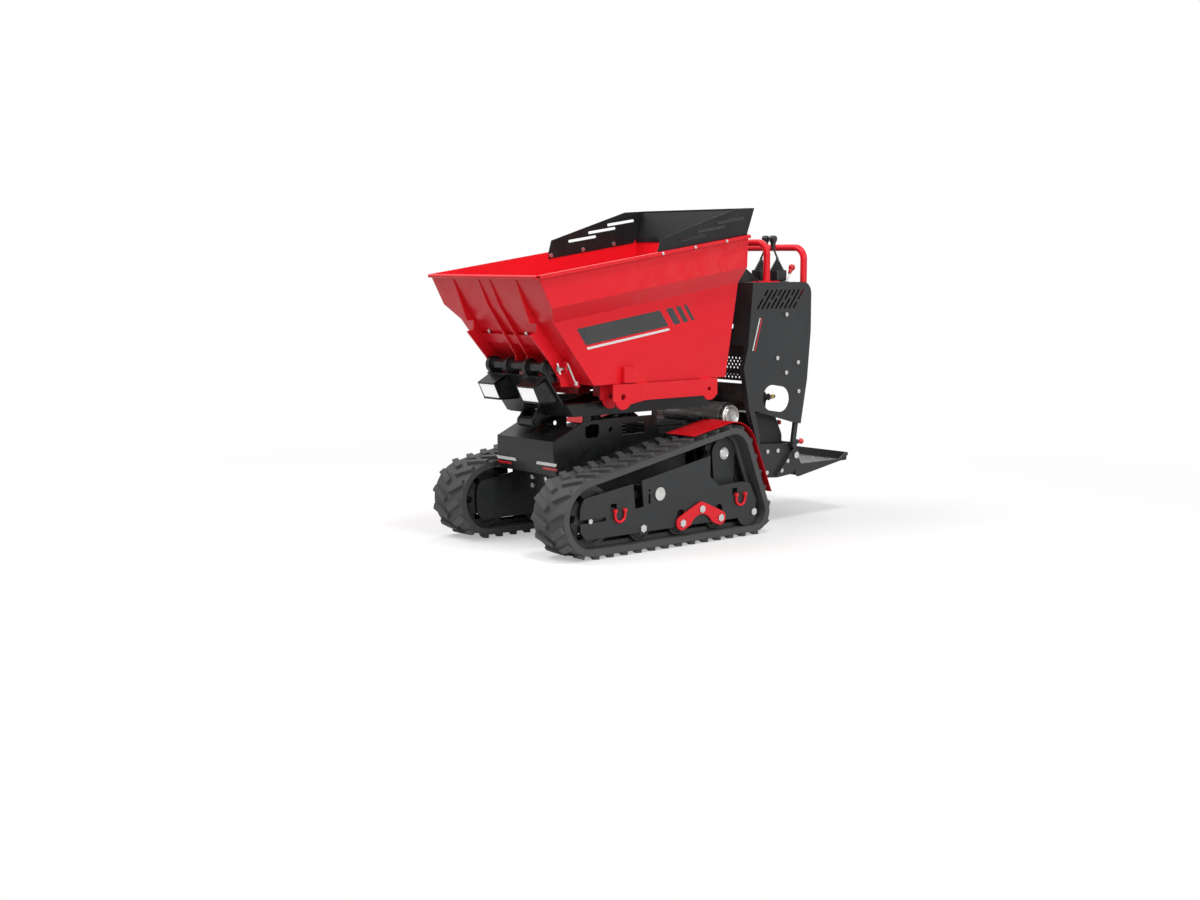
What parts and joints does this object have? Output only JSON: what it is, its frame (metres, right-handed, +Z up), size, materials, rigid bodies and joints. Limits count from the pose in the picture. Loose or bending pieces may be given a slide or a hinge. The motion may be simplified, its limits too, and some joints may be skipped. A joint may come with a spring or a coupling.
{
  "type": "tracked power carrier",
  "caption": "Walk-behind tracked carrier: rubber tracks, chassis, front-tipping hopper on a hydraulic ram, engine bay, control tower with levers and bars, folding step.",
  "frame": {"origin": "centre of the bounding box at ground level", "axes": "+X towards the machine's left side, -Y towards its front, +Z up"},
  "size_m": [0.8, 1.787, 1.278],
  "materials": {
    "red_paint": "gloss paint",
    "dark_paint": "satin powder coat",
    "black_paint": "satin paint",
    "track_rubber": "moulded rubber",
    "boot_rubber": "moulded rubber",
    "bright_steel": "zinc plated",
    "wheel_iron": "painted casting",
    "engine_alloy": "painted casting",
    "silencer_steel": "bare sheet",
    "tank_shell": "satin, oil filled",
    "red_plastic": "moulded"
  },
  "bodies": {
    "machine": {"track_belt_left": "track_rubber", "track_frame_left": "dark_paint", "tower_panel_left": "dark_paint", "track_belt_right": "track_rubber", "track_frame_right": "dark_paint", "tower_panel_right": "dark_paint", "fenders": "red_paint", "lashing_hooks": "red_paint", "guard_bar": "red_paint", "hand_bar": "red_paint", "chassis_frame": "dark_paint", "front_cover": "dark_paint", "tip_subframe": "dark_paint", "rear_frame": "dark_paint", "drive_motors": "black_paint", "heat_screen": "black_paint", "muffler_guard": "black_paint", "console_top": "black_paint", "track_axles": "bright_steel", "track_tensioners": "bright_steel", "cross_tubes": "bright_steel", "hinge_bushes": "bright_steel", "tower_bolts": "bright_steel", "engine_block": "engine_alloy", "muffler": "silencer_steel", "hydraulic_tank": "tank_shell", "lever_boots": "boot_rubber"},
    "skip": {"skip_shell": "red_paint", "skip_frame": "red_paint", "hinge_shaft": "black_paint", "side_board_left": "dark_paint", "side_board_right": "dark_paint", "rear_board": "dark_paint", "board_bolts": "bright_steel", "stay_rod": "bright_steel"},
    "stay_pin": {"stay_pin": "bright_steel"},
    "tip_barrel": {"tip_barrel": "black_paint"},
    "tip_rod": {"tip_rod": "bright_steel"},
    "throttle_lever": {"throttle_lever": "red_plastic"},
    "step": {"step_plate": "dark_paint"},
    "lock_knob": {"lock_knob": "red_plastic"},
    "bogie_left": {"bogie_rocker_left": "red_paint", "bogie_axles_left": "bright_steel"},
    "idler_wheel_left": {"idler_wheel_left": "wheel_iron"},
    "drive_sprocket_left": {"drive_sprocket_left": "wheel_iron"},
    "front_roller_left": {"front_roller_left": "wheel_iron"},
    "rear_roller_left": {"rear_roller_left": "wheel_iron"},
    "bogie_front_roller_left": {"bogie_front_roller_left": "wheel_iron"},
    "bogie_rear_roller_left": {"bogie_rear_roller_left": "wheel_iron"},
    "travel_lever_left": {"travel_lever_left": "black_paint"},
    "bogie_right": {"bogie_rocker_right": "red_paint", "bogie_axles_right": "bright_steel"},
    "idler_wheel_right": {"idler_wheel_right": "wheel_iron"},
    "drive_sprocket_right": {"drive_sprocket_right": "wheel_iron"},
    "front_roller_right": {"front_roller_right": "wheel_iron"},
    "rear_roller_right": {"rear_roller_right": "wheel_iron"},
    "bogie_front_roller_right": {"bogie_front_roller_right": "wheel_iron"},
    "bogie_rear_roller_right": {"bogie_rear_roller_right": "wheel_iron"},
    "travel_lever_right": {"travel_lever_right": "black_paint"}
  },
  "joints": [
    {"name": "skip_tip", "type": "hinge", "parent": "machine", "child": "skip", "pos_m": [0, -0.7065, 0.683], "axis": [1, 0, 0], "range_deg": [0, 65]},
    {"name": "cylinder_swing", "type": "hinge", "parent": "machine", "child": "tip_barrel", "pos_m": [0, -0.6685, 0.474], "axis": [1, 0, 0], "range_deg": [0, 53.21]},
    {"name": "rod_slide", "type": "slide", "parent": "tip_barrel", "child": "tip_rod", "axis": [0, 0.9779, 0.2089], "range_m": [0, 0.2025]},
    {"name": "stay_pin_pull", "type": "slide", "parent": "skip", "child": "stay_pin", "axis": [0, -1, 0], "range_m": [0, 0.018], "stiffness_N_per_m": 400},
    {"name": "throttle_swing", "type": "hinge", "parent": "machine", "child": "throttle_lever", "pos_m": [0.226, 0.4955, 0.967], "axis": [1, 0, 0], "range_deg": [-25, 15]},
    {"name": "step_fold", "type": "hinge", "parent": "machine", "child": "step", "pos_m": [0, 0.5435, 0.272], "axis": [1, 0, 0], "range_deg": [0, 85]},
    {"name": "lock_knob_pull", "type": "slide", "parent": "machine", "child": "lock_knob", "axis": [0, 1, 0], "range_m": [0, 0.01], "stiffness_N_per_m": 400},
    {"name": "bogie_rock_left", "type": "hinge", "parent": "machine", "child": "bogie_left", "pos_m": [0.31, -0.14, 0.132], "axis": [1, 0, 0], "range_deg": [-2, 2]},
    {"name": "idler_wheel_spin_left", "type": "hinge", "parent": "machine", "child": "idler_wheel_left", "pos_m": [0.31, -0.6845, 0.154], "axis": [1, 0, 0], "continuous": true},
    {"name": "drive_sprocket_spin_left", "type": "hinge", "parent": "machine", "child": "drive_sprocket_left", "pos_m": [0.31, 0.0285, 0.328], "axis": [1, 0, 0], "continuous": true},
    {"name": "front_roller_spin_left", "type": "hinge", "parent": "machine", "child": "front_roller_left", "pos_m": [0.31, -0.4345, 0.088], "axis": [1, 0, 0], "continuous": true},
    {"name": "rear_roller_spin_left", "type": "hinge", "parent": "machine", "child": "rear_roller_left", "pos_m": [0.31, 0.1535, 0.091], "axis": [1, 0, 0], "continuous": true},
    {"name": "bogie_front_roller_spin_left", "type": "hinge", "parent": "bogie_left", "child": "bogie_front_roller_left", "pos_m": [0.31, -0.2415, 0.088], "axis": [1, 0, 0], "continuous": true},
    {"name": "bogie_rear_roller_spin_left", "type": "hinge", "parent": "bogie_left", "child": "bogie_rear_roller_left", "pos_m": [0.31, -0.0385, 0.088], "axis": [1, 0, 0], "continuous": true},
    {"name": "travel_lever_swing_left", "type": "hinge", "parent": "machine", "child": "travel_lever_left", "pos_m": [0.206, 0.4635, 0.947], "axis": [1, 0, 0], "range_deg": [-15, 15], "stiffness_Nm_per_rad": 8, "deforming": ["lever_boots"]},
    {"name": "bogie_rock_right", "type": "hinge", "parent": "machine", "child": "bogie_right", "pos_m": [-0.31, -0.14, 0.132], "axis": [1, 0, 0], "range_deg": [-2, 2]},
    {"name": "idler_wheel_spin_right", "type": "hinge", "parent": "machine", "child": "idler_wheel_right", "pos_m": [-0.31, -0.6845, 0.154], "axis": [1, 0, 0], "continuous": true},
    {"name": "drive_sprocket_spin_right", "type": "hinge", "parent": "machine", "child": "drive_sprocket_right", "pos_m": [-0.31, 0.0285, 0.328], "axis": [1, 0, 0], "continuous": true},
    {"name": "front_roller_spin_right", "type": "hinge", "parent": "machine", "child": "front_roller_right", "pos_m": [-0.31, -0.4345, 0.088], "axis": [1, 0, 0], "continuous": true},
    {"name": "rear_roller_spin_right", "type": "hinge", "parent": "machine", "child": "rear_roller_right", "pos_m": [-0.31, 0.1535, 0.091], "axis": [1, 0, 0], "continuous": true},
    {"name": "bogie_front_roller_spin_right", "type": "hinge", "parent": "bogie_right", "child": "bogie_front_roller_right", "pos_m": [-0.31, -0.2415, 0.088], "axis": [1, 0, 0], "continuous": true},
    {"name": "bogie_rear_roller_spin_right", "type": "hinge", "parent": "bogie_right", "child": "bogie_rear_roller_right", "pos_m": [-0.31, -0.0385, 0.088], "axis": [1, 0, 0], "continuous": true},
    {"name": "travel_lever_swing_right", "type": "hinge", "parent": "machine", "child": "travel_lever_right", "pos_m": [0.116, 0.4635, 0.947], "axis": [1, 0, 0], "range_deg": [-15, 15], "stiffness_Nm_per_rad": 8, "deforming": ["lever_boots"]}
  ],
  "couplings": [
    {"joint": "cylinder_swing", "follows": "skip_tip", "ratio": 0.81701},
    {"joint": "rod_slide", "follows": "skip_tip", "m_per_rad": 0.17812},
    {"joint": "drive_sprocket_spin_left", "follows": "idler_wheel_spin_left", "ratio": 1.45},
    {"joint": "front_roller_spin_left", "follows": "idler_wheel_spin_left", "ratio": 2.32},
    {"joint": "rear_roller_spin_left", "follows": "idler_wheel_spin_left", "ratio": 2.1887},
    {"joint": "bogie_front_roller_spin_left", "follows": "idler_wheel_spin_left", "ratio": 2.5217},
    {"joint": "bogie_rear_roller_spin_left", "follows": "idler_wheel_spin_left", "ratio": 2.5217},
    {"joint": "drive_sprocket_spin_right", "follows": "idler_wheel_spin_right", "ratio": 1.45},
    {"joint": "front_roller_spin_right", "follows": "idler_wheel_spin_right", "ratio": 2.32},
    {"joint": "rear_roller_spin_right", "follows": "idler_wheel_spin_right", "ratio": 2.1887},
    {"joint": "bogie_front_roller_spin_right", "follows": "idler_wheel_spin_right", "ratio": 2.5217},
    {"joint": "bogie_rear_roller_spin_right", "follows": "idler_wheel_spin_right", "ratio": 2.5217}
  ]
}
